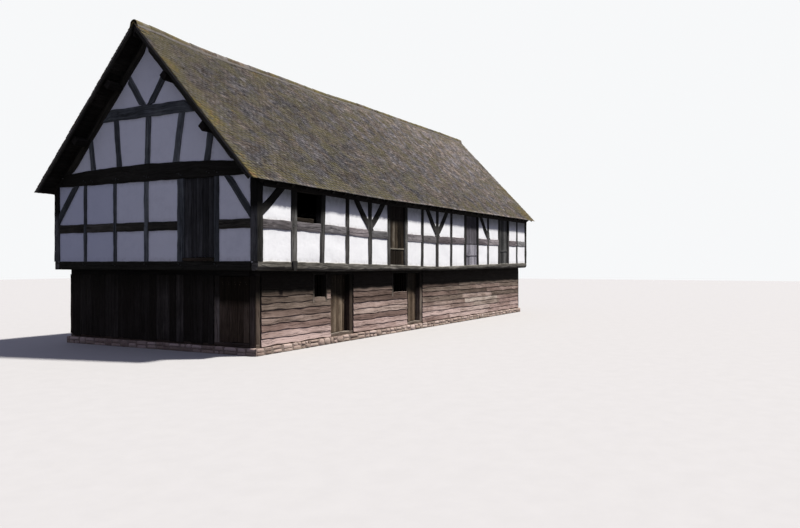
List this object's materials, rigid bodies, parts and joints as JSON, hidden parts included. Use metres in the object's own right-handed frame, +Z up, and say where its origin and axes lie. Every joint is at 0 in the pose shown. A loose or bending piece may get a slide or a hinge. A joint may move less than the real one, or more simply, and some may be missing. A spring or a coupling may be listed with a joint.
{
  "type": "half timbered house",
  "caption": "Half timbered farm building with a boarded lower storey, a jettied timber framed upper storey with white panels and a steep plain tile roof.",
  "frame": {"origin": "centre of the footprint at ground level", "axes": "+X along the long walls away from the gable with the loft door, +Y from the front wall to the back wall, +Z up"},
  "size_m": [19.36, 7.35, 7.973],
  "materials": {
    "rubble": "rough rubble stone",
    "oak": "weathered dark oak",
    "grey_oak": "weathered grey oak",
    "dark_oak": "dark oak out of the weather",
    "boards": "bleached waney boards",
    "door_planks": "weathered door planks",
    "plaster": "limewashed plaster",
    "clay_tile": "weathered plain clay tiles with lichen",
    "iron": "rusty wrought iron"
  },
  "bodies": {
    "house": {"plinth_long": "rubble", "plinth_gable": "rubble", "ground_sills_long": "grey_oak", "ground_sills_gable": "grey_oak", "lower_posts": "grey_oak", "lower_rails": "grey_oak", "lower_plates_long": "grey_oak", "lower_plates_gable": "grey_oak", "weatherboards": "boards", "gable_boards": "boards", "door_pintles": "iron", "floor_joists": "dark_oak", "jetty_joists": "dark_oak", "floorboards": "grey_oak", "sills_long": "grey_oak", "sills_gable": "grey_oak", "corner_posts": "oak", "front_posts": "oak", "back_posts": "oak", "long_rails": "oak", "long_braces": "oak", "front_panels": "plaster", "back_panels": "plaster", "wall_plates": "dark_oak", "gable_posts": "oak", "gable_rails": "oak", "gable_braces": "oak", "gable_panels": "plaster", "tie_beams": "oak", "collars": "oak", "principals": "oak", "loft_doors": "door_planks", "loft_boards": "grey_oak", "purlins": "dark_oak", "ridge_beam": "dark_oak", "rafters": "dark_oak", "roof_front": "clay_tile", "roof_back": "clay_tile", "ridge_tiles": "clay_tile", "bargeboards": "grey_oak"},
    "door_front_west": {"door_front_west": "door_planks"},
    "door_front_middle": {"door_front_middle": "door_planks"},
    "door_gable": {"door_gable": "door_planks"}
  },
  "joints": [
    {"name": "front_west_hinge", "type": "hinge", "parent": "house", "child": "door_front_west", "pos_m": [-5.9, -3.103, 0.278], "axis": [0, 0, 1], "range_deg": [-8.5, 81.5]},
    {"name": "front_middle_hinge", "type": "hinge", "parent": "house", "child": "door_front_middle", "pos_m": [-1.49, -3.103, 0.278], "axis": [0, 0, 1], "range_deg": [-10, 80]},
    {"name": "gable_hinge", "type": "hinge", "parent": "house", "child": "door_gable", "pos_m": [-8.928, -2.095, 0.278], "axis": [0, 0, 1], "range_deg": [0, 90]}
  ]
}
